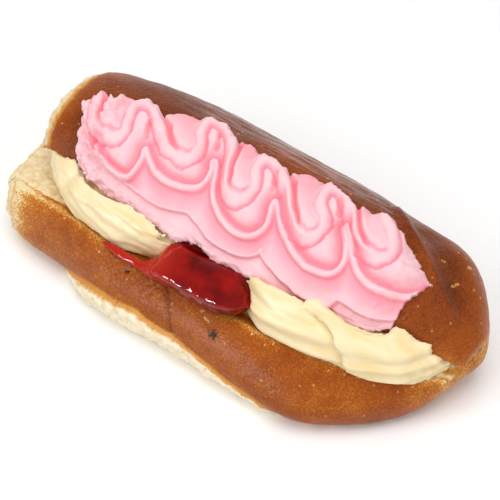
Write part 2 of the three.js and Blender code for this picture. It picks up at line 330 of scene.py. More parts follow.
# Lines on the crust, through [x, y, z]: a soft fold over the right end, the hollow and the dent beside it, a
# crack down the front, and the blistered crust beside the jam and on the right end
END_FOLD = [
    (43, 23.8, 44), (51, 16.8, 46.5), (58, 11.3, 46.5), (64, 6.8, 45.5), (70, 3.3, 42), (74, 1.8, 38.5),
]
END_HOLLOW = [(59, 19.8, 44), (67, 13.8, 43.5), (74, 7.8, 40)]
END_DENT = [(71, 11.8, 41.5), (75, 8.3, 38.5)]
FRONT_CRACK = [(-8.2, -29, 25.8), (-5.6, -32.3, 23.6), (-3.4, -35.1, 19.1), (-1.3, -36.5, 12.8)]
BLISTERED = [[(-33, -27, 25), (-11, -31, 24.5)], [(62, -8, 40), (71, -7, 35)]]
BLISTER_REACH = 5
HOLLOW_REACH = 6
# How those at the right end shape it: [line, height, reach]
END_RELIEF = [(END_FOLD, 1.5, 1.9), (END_HOLLOW, -1.8, HOLLOW_REACH), (END_DENT, -0.8, 1.4)]
CRACK_REACH = 0.8
CRACK_DEPTH = 0.5
# Pale scuffs on the crust: one under the jam, where a flake came off, and three on the right end
SCUFFS = [
    [(6.8, -31, 25.1), (8.6, -32, 24.4), (10.6, -33.2, 23.7)], [(70.4, 19, 39.7), (71.7, 21.1, 36.9)],
    [(71.5, 9.4, 41.6), (72.6, 12.7, 40.5)], [(63.5, 14.6, 45.1), (65.2, 14.9, 44.5)],
]
SCUFF_REACH = 1.1
SCUFF_DEPTH = 0.3
# The top of the pale torn strip along the foot, where the bun next to it was pulled off: [x, z]
STRIP_TOP = [
    (-54, 0), (-49, 6), (-41, 8.5), (-34, 10.5), (-24, 11.9), (-16, 13.2), (-9, 11.8), (-1, 11.6), (6, 11),
    (12, 10.4), (17, 9), (24, 7.5), (32, 6), (40, 0),
]
STRIP_FADE = 3  # it comes in over this height
STRIP_FRONT = -8  # and lies only in front of this y
# How far that strip stands out from the crust: [x, mm]
STRIP_OUT = [(-54, 0), (-49, 0.9), (-43, 2.4), (-34, 3.4), (-24, 3.1), (-10, 2.2), (10, 1.5), (40, 0.8)]
# How far behind the corner of the base's lip its crust ends: [x, mm]
LIP_BACK = [(-84, 2), (-58, 3.6), (-46, 6), (-36, 5.4), (0, 5), (21, 4.2), (40, 1.4), (53, 0.5), (84, 0)]
LIP_CORNER = 0.6  # the rounding of that corner
LIP_TOP = 34  # the base's lip is nowhere higher
SHELF_LEAST = 12  # and its cut face nowhere lower
SHELF_UP = 0.25  # nor steeper than this, as the upward share of its normal
UNDER_LID = 2  # it goes on under the lid by this much
# Uneven bread: [height, size, seed] of each layer of lumps
CRUST_LUMPS = [(0.45, 26, 0.0), (0.16, 6, 1.3), (0.06, 2, 9.2)]
TORN_END_LUMPS = [(1.1, 4.5, 3.3), (0.7, 1.9, 5.1)]
CRUMB_LUMPS = [(0.6, 3.2, 6.6), (0.5, 1.5, 8.8)]
STRIP_LUMPS = [(0.6, 5, 7.1)]
STRIP_EDGE_LUMPS = [(0.8, 7, 3.1), (0.2, 2.2, 1.7)]
BAKE = 0.49  # how dark the crust is baked on the whole, from 0, pale, to 1, burnt
BAKE_LUMPS = [(0.14, 24, 7.7), (0.07, 9, 2.9)]
LEFT_RIM = 79  # how far to the left the crust ends
BLISTER_HEIGHT = 0.16
WRINKLE_HEIGHT = 0.12
WRINKLE_LENGTH = 6  # times their width


def finish_bun():
    """Gives the bun its relief, and the values that its finish reads."""
    mesh = bun.data
    at, out = places_and_normals(mesh)
    x, y, z = at.T
    lid_front = np.interp(x, MAP_X, lid_lip)
    base_front = np.interp(x, MAP_X, base_lip)
    # cut bread: what faces the slit and the base's top behind its lip, but not the lid's right end
    shelf = (out[:, 2] > SHELF_UP) & (z > SHELF_LEAST) & (z < LIP_TOP)
    shelf &= (y > base_front + LIP_CORNER + keyed(x, *LIP_BACK)) & (y < lid_front + UNDER_LID)
    cut = softened(mesh, np.maximum(slit_faces(at, out), shelf), 2)
    cut *= 1 - ease(x, 54, 62) * ease(z, 22, 24.5)
    # the torn strip: -1 on the crust, 0 along its upper edge and 1 well inside it
    strip_top = keyed(x, *STRIP_TOP) + layered(at, *STRIP_EDGE_LUMPS)
    has_strip = (y < STRIP_FRONT) & (strip_top > 0.2)
    strip = np.where(has_strip, np.clip((strip_top - z) / STRIP_FADE, -1, 1), -1)
    in_strip = ease(strip, -0.2, 0.25)
    rough = np.clip(cut + in_strip, 0, 1)
    crust = 1 - rough
    # the left end, torn from the next bun, the lip of the base, and the top of the back
    torn_end = ease(-out[:, 0], 0.3, 0.75) * ease(-x, 48, 58)
    on_lip = hump(y - base_front - 0.8, 1.5) * (np.abs(z - height_above(x, y)) < 1.5) * (z < LIP_TOP)
    on_lip *= 1 - ease(x, 50, 58) * ease(z, 20, 22.5)
    back = ease(y, 8, 20) * ease(z, 28, 38) * ease(x, -45, -20) * (1 - 0.8 * ease(x, 36, 58))
    # marks on the crust
    near_jam, right_patch = (hump(away_from(line, at), BLISTER_REACH) for line in BLISTERED)
    blister = np.clip(near_jam + right_patch + 0.5 * ease(lumps(at, 14, 5.5), 0.25, 0.5), 0, 1) * crust
    # the crack is a groove, and its finish paints it dark as shade
    crack = hump(away_from(FRONT_CRACK, at + 0.5 * lumps(at, 3, 2.4)[:, None]), CRACK_REACH) * crust
    scuff = hump(np.min([away_from(line, at) for line in SCUFFS], axis=0), SCUFF_REACH)
    scuff *= np.clip(0.7 + 0.9 * lumps(at, 1.5, 4.9), 0, 1)
    # relief
    wrinkles = lumps(np.stack([x / WRINKLE_LENGTH, y, z], 1), 1.7, 4.1)
    relief = crust * layered(at, *CRUST_LUMPS)
    relief -= SCUFF_DEPTH * scuff
    relief += BLISTER_HEIGHT * blister * np.maximum(0, lumps(at, 1.9, 2.2))
    relief += crust * back * WRINKLE_HEIGHT * wrinkles
    for line, height, reach in END_RELIEF:
        relief += crust * height * hump(away_from(line, at), reach)
    relief += torn_end * layered(at, *TORN_END_LUMPS)
    relief += rough * layered(at, *CRUMB_LUMPS)
    relief -= CRACK_DEPTH * crack
    relief += in_strip * (keyed(x, *STRIP_OUT) + layered(at, *STRIP_LUMPS))
    at = at + out * relief[:, None]
    at[:, 2] = np.maximum(at[:, 2], 0)
    move_to(mesh, at)
    # how much darker or paler the crust is baked in places
    bake = BAKE + layered(at, *BAKE_LUMPS)
    to_end = -LEFT_RIM - x + 4 * ease(z, 26, 34) - 2.5 * lumps(at, 7, 4.4)
    for more, where in (
        (0.24, ease(z, 26, 44)),  # the lid
        (0.04, ease(z, 40, 50) * ease(-x, 10, 35)),  # its top on the left
        # the hollow by the right end, painted darker as shade
        (0.12, hump(away_from(END_HOLLOW, at), HOLLOW_REACH)),
        (-0.12, ease(-x, 40, 66) * (1 - ease(z, 30, 40))),  # the base on the left
        (-0.3, ease(to_end, -18, -3)),  # towards the left end, and at its rim
        (-0.05, ease(to_end, -4, 1)),
        (-0.22, ease(x, 66, 82) * ease(30 - z, 0, 10)),  # under the right end
        (-0.25, hump(z - strip_top - 0.6, 1.3) * (strip > -1)),  # along the strip
        (-0.18, torn_end),
        (-0.16, torn_end * lumps(at, 3, 6.2)),
        (-0.28, on_lip),
    ):
        bake += more * where
    # where crumbs lie, on the lip and a few on the strip's edge
    torn_rim = hump(strip, 0.3) * (strip > -1)
    crumbly = np.clip(on_lip + 0.06 * torn_rim, 0, 1) * ease(lumps(at, 12, 3.7), -0.2, 0.3) * ease(z, 1.5, 3)
    # no crust is left between the slit and the torn end
    cut = np.maximum(cut, torn_end)
    filled = ease(softened(mesh, cut, 16), 0.3, 0.42) * ease(-x, 56, 62) * (1 - ease(z, 27, 31))
    cut = np.maximum(cut, filled)
    for name, values in (
        ("cut", cut), ("strip", strip), ("bake", bake), ("blister", blister), ("crack", crack),
        ("back", back), ("scuff", scuff), ("crumbly", crumbly),
    ):
        paint(mesh, name, values)


finish_bun()


# Icing: a flat sheet, in x along the bun and t over the lid from its lip, that the piping rule shapes

SHEET_STEP = 0.32
SHEET_X = (-62.0, 68.0)
SHEET_T = (-7.0, 40.0)
HANG = (-0.6, -0.8)  # the way in y and z that icing past the lid's lip hangs
RUN_STEP = 0.25  # steps in y over the lid
LIP_SAMPLES = 14  # the lip is within the first steps
LIP_FALL = 5  # and no further than this below the highest of them
SHEET_SMOOTH = 9  # places along x over which the lid's skin is evened out


def over_the_lid(ts):
    """At each MAP_X, the y and z of places t along the lid's skin from its lip."""
    runs = []
    for heights, lip_y in zip(top_map, lid_lip):
        ys = np.arange(lip_y - 1, MAP_Y[-1], RUN_STEP)
        zs = np.interp(ys, MAP_Y, heights)
        lip = np.argmax(zs > zs[:LIP_SAMPLES].max() - LIP_FALL)
        ys, zs = ys[lip:], zs[lip:]
        way = np.concatenate([[0], np.cumsum(np.hypot(np.diff(ys), np.diff(zs)))])
        over = np.maximum(ts, 0)
        hang = np.minimum(ts, 0)
        runs.append([np.interp(over, way, ys) - HANG[0] * hang, np.interp(over, way, zs) - HANG[1] * hang])
    return np.array(runs)


def lid_sheet():
    """The flat sheet as a mesh that carries where each place lies on the lid."""
    xs = np.arange(*SHEET_X, SHEET_STEP)
    ts = np.arange(*SHEET_T, SHEET_STEP)
    runs = over_the_lid(ts)
    ys, zs = (
        np.array([np.interp(xs, MAP_X, smoothed(line, SHEET_SMOOTH)) for line in runs[:, side].T]).T
        for side in (0, 1)
    )
    run_y, run_z = np.gradient(ys, axis=1), np.gradient(zs, axis=1)
    length = np.hypot(run_y, run_z) + 1e-9  # never zero
    none = np.zeros_like(ys)
    flat_x, flat_t = np.meshgrid(xs, ts, indexing="ij")
    flat = np.stack([flat_x, flat_t, none], 2).reshape(-1, 3) * MM
    place = np.stack([flat_x, ys, zs], 2).reshape(-1, 3) * MM
    outward = np.stack([none, -run_z / length, run_y / length], 2).reshape(-1, 3)
    corner = (np.arange(len(xs) - 1)[:, None] * len(ts) + np.arange(len(ts) - 1)).ravel()
    faces = np.stack([corner, corner + len(ts), corner + len(ts) + 1, corner + 1], 1)
    mesh = bpy.data.meshes.new("piped_icing")
    mesh.from_pydata(flat.tolist(), [], faces.tolist())
    for name, values in (("lid_place", place), ("lid_outward", outward)):
        attribute = mesh.attributes.new(name, "FLOAT_VECTOR", "POINT")
        attribute.data.foreach_set("vector", values.ravel())
    for name, edge in (("front_line", ICING_FRONT), ("back_line", ICING_BEHIND)):
        paint(mesh, name, keyed(flat_x.ravel(), *edge) * MM)
    return mesh


# The way of the nozzle, [x, t], from the left end: leaning waves, like a breaking sea
NOZZLE_WAY = [
    (-55, 21), (-52, 16), (-48, 12.5), (-42, 12.5), (-38.5, 14.5), (-40, 19), (-40.5, 23), (-37, 25),
    (-32, 23), (-26, 18.7), (-19, 16.8), (-15, 17), (-14, 20), (-17.5, 26), (-17.5, 30.5), (-13, 30.7),
    (-6.5, 26), (-2.5, 19), (2.5, 15.4), (6.5, 15.7), (8, 19), (4.8, 25), (5.5, 28.4), (10, 28), (17, 22.3),
    (22, 17.8), (27, 15.2), (31.5, 15.3), (32.7, 18.5), (27.5, 25), (28, 29.5), (32, 29.3), (37.5, 24.8),
    (42, 19.5), (47, 17.3), (52.5, 17.2), (53.8, 19.5), (51, 23.5), (46, 27.8),
]
WAY_POINTS = 1400
# The icing's front and back edges on the lid, [x, t]
ICING_FRONT = [
    (-58, 15), (-56, 7), (-52.5, 0), (-46, -3), (-34, -3), (-29, -1.9), (-22.5, -4.8), (-18, -3.6),
    (-11, -5.4), (-6.5, -3.5), (-1, -1.4), (5.5, -3.8), (12.5, -2.6), (19, -3.8), (27, -2.8), (32, -2.8),
    (42, -0.9), (44, -0.8), (49.5, -3.5), (55.5, -2.9), (59, -0.8), (62, 2), (62.5, 9), (63.2, 11),
    (65.4, 15.4), (66, 18),
]
ICING_BEHIND = [
    (-58, 16), (-55, 21), (-52, 23.5), (-49, 23.5), (-46, 26.5), (-43, 26), (-40, 28), (-36, 28.2),
    (-31, 26.5), (-29, 32), (-26, 34.4), (-21, 34.2), (-17, 34), (-12, 33.8), (-8, 31), (-6.5, 33.5),
    (-3, 35), (1, 33.5), (6, 31.6), (11, 31), (14, 30.5), (16, 34), (19, 36), (22, 35), (25, 33.4),
    (29, 32.8), (34, 31), (36.5, 30), (38.5, 32.5), (41, 31), (44, 31.5), (48, 30.5), (53, 28), (59, 24),
    (64, 20), (66, 18),
]
RIGHT_END = ICING_FRONT[-5:] + ICING_BEHIND[-2:-4:-1]
# The star nozzle's flutes on the rope's front: two more crests, [x, t], that follow the waves lower down
SECOND_CREST = [
    (-46, 9), (-42, 7.2), (-38, 6.5), (-34, 6.4), (-31.5, 7), (-30, 9), (-29.3, 12.5), (-29.8, 15),
    (-28.3, 14.2), (-25.5, 12.7), (-22, 11.4), (-18.5, 10.8), (-15, 10.9), (-11, 11.5), (-8.3, 12.6),
    (-7.2, 14.5), (-7.6, 17.5), (-8.8, 20.5), (-6, 18.5), (-4, 15), (-2, 12.9), (0.5, 11.6), (3.5, 10.2),
    (7, 9), (10.5, 8.7), (13.8, 9.5), (16, 11.3), (16.8, 13), (16, 15.8), (15, 18.5), (15.3, 19.7),
    (17, 18.6), (19, 16.6), (22.5, 13.8), (26.5, 11.8), (31, 10), (35.5, 9.1), (39.5, 9.5), (42, 10.8),
    (42.7, 12.8), (41.6, 15.7), (39.5, 18.8), (37.8, 20.6), (37.4, 21.6), (39, 20.6), (42, 17.8),
    (45, 14.8), (48, 12.4), (52, 11.2), (56, 10.9), (60, 11), (63, 12), (66, 15),
]
THIRD_CREST = [
    (-50, 9), (-46, 7.5), (-44, 6.6), (-37, 5.6), (-30, 5.3), (-24, 4.6), (-18, 4.2), (-12, 5.3), (-8, 6),
    (-6, 5.5), (-3, 4.9), (1, 3.7), (7, 3.1), (13, 3.6), (16, 5), (17.6, 6.5), (18.2, 8), (19.2, 6.6),
    (24.4, 4.2), (30, 2.6), (35, 1.3), (40, 0.8), (43, 1.2), (44.2, 3), (45, 4.4), (48.5, 4.2), (53, 3.9),
    (58.5, 4.2), (62.5, 5.5), (65, 8),
]
# The pinches under the back bends, where the flutes fold in on themselves
PINCHES = [
    [(-33.6, 21.2), (-31.6, 17.6)], [(-12.6, 28.2), (-10.4, 24)], [(10.6, 26), (12.8, 22)],
    [(32.0, 27.8), (34.4, 23.8)],
]
# The pinches carry painted shade, a deeper pink in their folds
PINCH = (1.0, 0.0)  # they come in between these distances
PINCH_SHADE_SHARE = 0.42  # and are this much pinker
# Heights over the crust in mm. Each flute lies flat at its back and rolls over to a crease at the next one.
# The first, FLUTE high, is changed by the distance from the rope's top and from the second crest; the second
# by the distance past the second crest and the share of the way to the third; then by the distance past that.
ROPE_HEIGHT = 9.6
FLUTE = 7.9
BY_TOP = [
    (0, 1.7), (0.7, 1.6), (1.2, 1.3), (1.6, 0.85), (2.0, 0.15), (2.25, -0.4), (2.4, -0.3), (2.65, 0),
    (12, 0),
]
BY_SECOND = [
    (0, -1.3), (0.4, -1.4), (0.8, -2.7), (1.1, -3.3), (1.5, -3.1), (2.2, -2.2), (3.2, -1.0), (4.4, -0.35),
    (6, 0), (12, 0),
]
PAST_SECOND = [(0, 1.6), (0.5, 1.5), (1.0, 1.0), (1.4, 0.3), (1.7, 0.0), (2.1, 0), (12, 0)]
TO_THIRD = [(0, 5.0), (0.5, 4.3), (0.75, 3.95), (0.88, 4.25), (0.96, 4.7), (1, 4.8)]
PAST_THIRD = [(0, 4.8), (0.4, 4.6), (0.9, 3.7), (1.4, 3.1), (2.1, 3.0), (4, 2.9), (8, 2.3), (12, 1.6)]
# Painted shade in the same places, as a deeper pink: 0 where a flute lies flat and about half in the creases
SHADE_BY_TOP = [
    (0, 0), (0.7, 0.04), (1.2, 0.15), (1.7, 0.35), (2.1, 0.6), (2.3, 0.65), (2.42, 0.15), (2.6, 0), (12, 0),
]
SHADE_BY_SECOND = [
    (0, 0), (0.4, 0.05), (0.8, 0.5), (1.1, 0.65), (1.6, 0.5), (2.4, 0.3), (3.6, 0.15), (5, 0.05), (6, 0),
    (12, 0),
]
SHADE_PAST_SECOND = [
    (0, 0), (0.5, 0.1), (1.0, 0.4), (1.5, 0.6), (2.0, 0.52), (3.5, 0.4), (5.5, 0.22), (8, 0.08), (12, 0),
]
SHADE_PAST_THIRD = [(0, 0), (0.5, 0.1), (1.0, 0.38), (1.6, 0.25), (3, 0.08), (12, 0)]
# Behind the rope's top in a front bend, by the distance: the lip of the tongue inside it, and the painted
# shade under that lip
LIP_DROP = [(0, 1), (1.3, 1), (1.8, 0), (12, 0)]
SHADE_UNDER_LIP = [(0, 0), (1.0, 0.05), (1.5, 0.4), (1.8, 0.4), (2.2, 0.03), (12, 0)]
# Inside a front bend, a tongue and a fold: [share of the way from the next stroke to the one before, drop]
TONGUE = [
    (0, 0), (0.13, 0.05), (0.24, 0.34), (0.42, 0.16), (0.6, 0.08), (0.7, 0.16), (0.78, 0.7), (0.84, 0.25),
    (0.91, 0.04), (1, 0),
]
TONGUE_ROOM = (2.0, 9.0)  # between strokes nearer than the first there is none, and past the second all of it
# The tongue's fold carries painted shade, a deeper pink
TONGUE_SHADE_POWER = 1.6  # the power by which its pink follows its drop
FRONT_BEND = (22.0, 18.0)  # the rope's top is in a front bend from the first t on, and fully from the second
# Patterns over the sheet, in marks to a metre: the flutes' wander has 9 mm, the teeth 2.3 mm, crumbs 2.6 mm
WANDER_SCALE = 110.0
TOOTH_SCALE = 430.0
CRUMBLE_SCALE = 380.0
WANDER = 0.7  # how far the flutes wander
LIP_TEETH = 0.55  # the teeth of a tongue's lip and of the icing's edge, as shares of Ragged
EDGE_TEETH = 1.7
# How the icing thins out: [distance from the edge, share of its height left there]
FRONT_THIN = (2.0, 0.7)
END_THIN = (6.0, 0.3)
ROLL_POWER = 0.45  # the roundness of the rope's back edge, as a power
# The tongues fall to the back, with painted shade there by the same share: [t where it starts, t where it
# ends, share of the height], off the crest
BACK_FALL = (20.0, 37.0, 0.55)
OFF_CREST = (1.6, 5.0)
LEFT_END = (-37.0, -47.0)  # the crumbly left end comes in between these x
SKIRT_CRUMBLE = 0.12  # and the skirt is this share as crumbly
LEAST_HEIGHT = 0.5  # the icing is nowhere thinner
BLUR = 0.4  # how far each height is evened out with its neighbours'
WELD = 0.001  # edges nearer than this in mm close up


def drawn_way(name, *runs):
    """Smooth curves over the flat sheet, each through its [x, t] places."""
    curve = bpy.data.curves.new(name, "CURVE")
    curve.dimensions = "3D"
    for run in runs:
        way = curve.splines.new("BEZIER")
        way.bezier_points.add(len(run) - 1)
        for point, (x, t) in zip(way.bezier_points, run):
            point.co = (x * MM, t * MM, 0)
            point.handle_left_type = point.handle_right_type = "AUTO"
    return new_piece(name, curve)


WAYS = {
    "Way": [NOZZLE_WAY], "Second crest": [SECOND_CREST], "Third crest": [THIRD_CREST], "Pinches": PINCHES,
    "Right end": [RIGHT_END],
}


def nearest_on_ways(tree, given, flat):
    """For each drawn way: its points, the place on it nearest this one, the gap, and if this is behind it."""
    lines, near_to, gap_to, is_behind = {}, {}, {}, {}
    for name in WAYS:
        way = add(tree, "GeometryNodeObjectInfo", {"Object": given[name]}, out="Geometry")
        line = add(
            tree, "GeometryNodeCurveToPoints", {"Curve": way, "Count": WAY_POINTS}, out=None, mode="COUNT",
        )
        nearest = add(tree, NEAREST, {"Geometry": line["Points"], "Sample Position": flat}, domain="POINT")
        near, heading = (
            add(
                tree, READ_AT, {"Geometry": line["Points"], "Value": value, "Index": nearest},
                data_type="FLOAT_VECTOR",
            )
            for value in (flat, line["Tangent"])
        )
        away = add(tree, VECTOR_MATH, {0: flat, 1: near}, operation="SUBTRACT")
        turn = add(tree, VECTOR_MATH, {0: heading, 1: away}, operation="CROSS_PRODUCT")
        side = add(tree, AXES, {0: turn}, out="Z")
        lines[name] = line
        near_to[name] = near
        gap_to[name] = add(tree, VECTOR_MATH, {0: away}, out="Value", operation="LENGTH")
        is_behind[name] = add(tree, MATH, {0: side, 1: 0.0}, operation="GREATER_THAN")
    return lines, near_to, gap_to, is_behind


def stroke_gaps(tree, line, flat):
    """The gaps to the nozzle's strokes that run to the back, and to those that run to the front."""
    heading_t = add(tree, AXES, {0: line["Tangent"]}, out="Y")
    rising = add(tree, MATH, {0: heading_t, 1: 0.0}, operation="GREATER_THAN")
    parted = add(
        tree, "GeometryNodeSeparateGeometry", {"Geometry": line["Points"], "Selection": rising}, out=None,
        domain="POINT",
    )
    gaps = []
    for strokes in (parted["Selection"], parted["Inverted"]):
        place = add(tree, NEAREST, {"Geometry": strokes, "Sample Position": flat}, domain="POINT")
        place = add(
            tree, READ_AT, {"Geometry": strokes, "Value": flat, "Index": place}, data_type="FLOAT_VECTOR",
        )
        gaps.append(add(tree, VECTOR_MATH, {0: flat, 1: place}, out="Value", operation="DISTANCE"))
    return gaps


def flute_profiles(tree, by_top, by_second, by_third):
    """Heights, and painted shade as a deeper pink, across the flutes, by a distance or, where the keys end at
    1, a share of the way.
    """
    between = add(tree, MATH, {0: by_second, 1: by_third}, operation="ADD")
    to_third = add(tree, MATH, {0: by_second, 1: between}, operation="DIVIDE")
    profile = {}
    for name, place, keys in (
        ("by top", by_top, BY_TOP), ("shade by top", by_top, SHADE_BY_TOP),
        ("by second", by_second, BY_SECOND), ("shade by second", by_second, SHADE_BY_SECOND),
        ("past second", by_second, PAST_SECOND), ("shade past second", by_second, SHADE_PAST_SECOND),
        ("to third", to_third, TO_THIRD),
        ("past third", by_third, PAST_THIRD), ("shade past third", by_third, SHADE_PAST_THIRD),
        ("lip", by_top, LIP_DROP), ("shade under lip", by_top, SHADE_UNDER_LIP),
    ):
        reach = keys[-1][0]
        low = min(value for _, value in keys)
        high = max(value for _, value in keys)
        if reach > 1:
            place = add(tree, MATH, {0: place, 1: 1 / (reach * MM)}, operation="MULTIPLY")
        curve = add(tree, "ShaderNodeFloatCurve", {"Value": place})
        set_curve(curve.node, keys, reach, low, high)
        profile[name] = add(tree, RANGE, {"Value": curve, "To Min": low, "To Max": high})
    return profile


def closed_body(tree, sheet, bottom):
    """The sheet laid at its underside, its upper face drawn off that, and the two closed into one body."""
    underside = add(tree, LAY_AT, {"Geometry": sheet, "Position": bottom})
    drawn = add(
        tree, "GeometryNodeExtrudeMesh", {"Mesh": underside, "Offset Scale": 0.0, "Individual": False},
        out=None, mode="FACES",
    )
    top_place = add(tree, STORED, {"Name": "top_place"}, data_type="FLOAT_VECTOR")
    upper = add(tree, LAY_AT, {"Geometry": drawn["Mesh"], "Selection": drawn["Top"], "Position": top_place})
    lower = add(tree, "GeometryNodeFlipFaces", {"Mesh": underside})
    whole = add(tree, "GeometryNodeJoinGeometry", {0: upper})
    tree.links.new(lower, whole.node.inputs[0])
    return add(tree, "GeometryNodeMergeByDistance", {"Geometry": whole, "Distance": WELD * MM})


def piping_rule():
    """Geometry nodes that raise the flat sheet into a fluted rope along the nozzle's way, on the lid."""
    tree, sockets, given = new_rule("piping rule", "Icing", {
        "Geometry": ("Sheet",), "Object": WAYS, "Material": ("Finish",),
        "Float": (
            "Rope height", "Tongue depth", "Lip height", "Pinch depth", "Roll off", "Ragged", "Crumbly",
            "Sink",
        ),
    })
    flat = add(tree, "GeometryNodeInputPosition")
    flat_x, flat_t, _ = add(tree, AXES, {0: flat}, out=None)
    lines, near_to, gap_to, is_behind = nearest_on_ways(tree, given, flat)
    gap, by_second, by_third = gap_to["Way"], gap_to["Second crest"], gap_to["Third crest"]
    behind_top, behind_second, behind_third = (
        is_behind[name] for name in ("Way", "Second crest", "Third crest")
    )
    near_t = add(tree, AXES, {0: near_to["Way"]}, out="Y")
    to_rising, to_falling = stroke_gaps(tree, lines["Way"], flat)
    between = add(tree, MATH, {0: to_rising, 1: to_falling}, operation="ADD")
    # uneven piping: the flutes wander a little, and the edges and the lips of the front bends are ragged
    wander = add(tree, NOISE, {"Vector": flat, "Scale": WANDER_SCALE, "Detail": 1.0})
    wander = add(tree, RANGE, {"Value": wander, "To Min": -WANDER * MM, "To Max": WANDER * MM})
    tooth = add(tree, NOISE, {"Vector": flat, "Scale": TOOTH_SCALE, "Detail": 3.0})
    for operation, value in (("SUBTRACT", 0.5), ("MULTIPLY", given["Ragged"])):
        tooth = add(tree, MATH, {0: tooth, 1: value}, operation=operation)
    edge_tooth = add(tree, MATH, {0: tooth, 1: EDGE_TEETH}, operation="MULTIPLY")
    pinch_gap = add(tree, MATH, {0: gap_to["Pinches"], 1: tooth}, operation="ADD")
    # what comes in smoothly between two places
    in_bend, off_crest, pinch, room, left_end = (
        add(
            tree, RANGE, {"Value": value, "From Min": start * MM, "From Max": end * MM},
            interpolation_type="SMOOTHSTEP",
        )
        for value, (start, end) in (
            (near_t, FRONT_BEND), (gap, OFF_CREST), (pinch_gap, PINCH), (between, TONGUE_ROOM),
            (flat_x, LEFT_END),
        )
    )
    lip_tooth = tooth
    for share in (in_bend, LIP_TEETH):
        lip_tooth = add(tree, MATH, {0: lip_tooth, 1: share}, operation="MULTIPLY")
    by_top = gap
    for operation, value in (("ADD", wander), ("MINIMUM", gap), ("ADD", lip_tooth)):
        by_top = add(tree, MATH, {0: by_top, 1: value}, operation=operation)
    profile = flute_profiles(tree, by_top, by_second, by_third)
    # the front, from the rope's top by its second and third crests to the skirt
    slope = profile["by top"]
    for value in (profile["by second"], FLUTE):
        slope = add(tree, MATH, {0: slope, 1: value}, operation="ADD")
    face = add(tree, MATH, {0: profile["past second"], 1: profile["to third"]}, operation="ADD")
    skirt = add(tree, MIX, {0: behind_third, 2: profile["past third"], 3: face}, data_type="FLOAT")
    slope = add(tree, MIX, {0: behind_second, 2: skirt, 3: slope}, data_type="FLOAT")
    slope = add(tree, MATH, {0: slope, 1: 1 / ROPE_HEIGHT}, operation="MULTIPLY")
    # pink: painted shade, deeper in the creases between the flutes
    pink = add(tree, MATH, {0: profile["shade by top"], 1: profile["shade by second"]}, operation="MAXIMUM")
    skirt_shade = add(
        tree, MIX, {0: behind_third, 2: profile["shade past third"], 3: profile["shade past second"]},
        data_type="FLOAT",
    )
    pink = add(tree, MIX, {0: behind_second, 2: skirt_shade, 3: pink}, data_type="FLOAT")
    # pinched folds, painted darker as shade, and the lip of the tongue: in a front bend the rope's top lies
    # lower than the tongue, with painted shade under the lip
    pinched = add(tree, MATH, {0: pinch, 1: given["Pinch depth"]}, operation="MULTIPLY")
    pinch_shade = add(tree, MATH, {0: pinch, 1: PINCH_SHADE_SHARE}, operation="MULTIPLY")
    pink = add(tree, MATH, {0: pink, 1: pinch_shade}, operation="MAXIMUM")
    lip = profile["lip"]
    for share in (in_bend, given["Lip height"]):
        lip = add(tree, MATH, {0: lip, 1: share}, operation="MULTIPLY")
    lip_shade = add(tree, MATH, {0: profile["shade under lip"], 1: in_bend}, operation="MULTIPLY")
    for drop in (pinched, lip):
        slope = add(tree, MATH, {0: slope, 1: drop}, operation="SUBTRACT")
    # inside a front bend the rope's back makes a tongue, folded against the stroke before
    across = add(tree, MATH, {0: to_rising, 1: between}, operation="DIVIDE")
    tongue = add(tree, "ShaderNodeFloatCurve", {"Value": across})
    set_curve(tongue.node, TONGUE)
    tongue = add(tree, MATH, {0: tongue, 1: room}, operation="MULTIPLY")
    start, end, fall = BACK_FALL
    back_fall = add(
        tree, RANGE, {"Value": flat_t, "From Min": start * MM, "From Max": end * MM, "To Max": fall},
    )
    back_fall = add(tree, MATH, {0: back_fall, 1: off_crest}, operation="MULTIPLY")
    folded = tongue
    for operation, value in (("MULTIPLY", given["Tongue depth"]), ("ADD", back_fall), ("ADD", lip)):
        folded = add(tree, MATH, {0: folded, 1: value}, operation=operation)
    folded = add(tree, MATH, {0: 1.0, 1: folded}, operation="SUBTRACT")
    # the tongue's painted shade: deeper in its fold, on its back as it falls away from the light, and under
    # its lip
    tongue_shade = tongue
    for operation, value in (("POWER", TONGUE_SHADE_POWER), ("ADD", back_fall), ("MAXIMUM", lip_shade)):
        tongue_shade = add(tree, MATH, {0: tongue_shade, 1: value}, operation=operation)
    # painted shade in front of the rope's top and on the tongue behind it, stored for the finish
    deep = add(tree, MIX, {0: behind_top, 2: pink, 3: tongue_shade}, data_type="FLOAT")
    # the edges: the front and the right end thin out, and the back rolls off
    front_line, back_line = (
        add(tree, STORED, {"Name": name}, data_type="FLOAT") for name in ("front_line", "back_line")
    )
    to_front = add(tree, MATH, {0: flat_t, 1: front_line}, operation="SUBTRACT")
    to_back = add(tree, MATH, {0: back_line, 1: flat_t}, operation="SUBTRACT")
    to_front, to_back, to_end = (
        add(tree, MATH, {0: edge, 1: edge_tooth}, operation="ADD")
        for edge in (to_front, to_back, gap_to["Right end"])
    )
    thin_front, thin_end = (
        add(tree, RANGE, {"Value": edge, "From Max": reach * MM, "To Min": least, "To Max": 1.0})
        for edge, (reach, least) in ((to_front, FRONT_THIN), (to_end, END_THIN))
    )
    thinned = add(tree, MATH, {0: thin_front, 1: thin_end}, operation="MINIMUM")
    slope = add(tree, MATH, {0: slope, 1: thinned}, operation="MULTIPLY")
    rolled = add(tree, RANGE, {"Value": to_back, "From Max": given["Roll off"]})
    rolled = add(tree, MATH, {0: rolled, 1: ROLL_POWER}, operation="POWER")
    height = add(tree, MIX, {0: behind_top, 2: slope, 3: folded}, data_type="FLOAT")
    for share in (rolled, given["Rope height"]):
        height = add(tree, MATH, {0: height, 1: share}, operation="MULTIPLY")
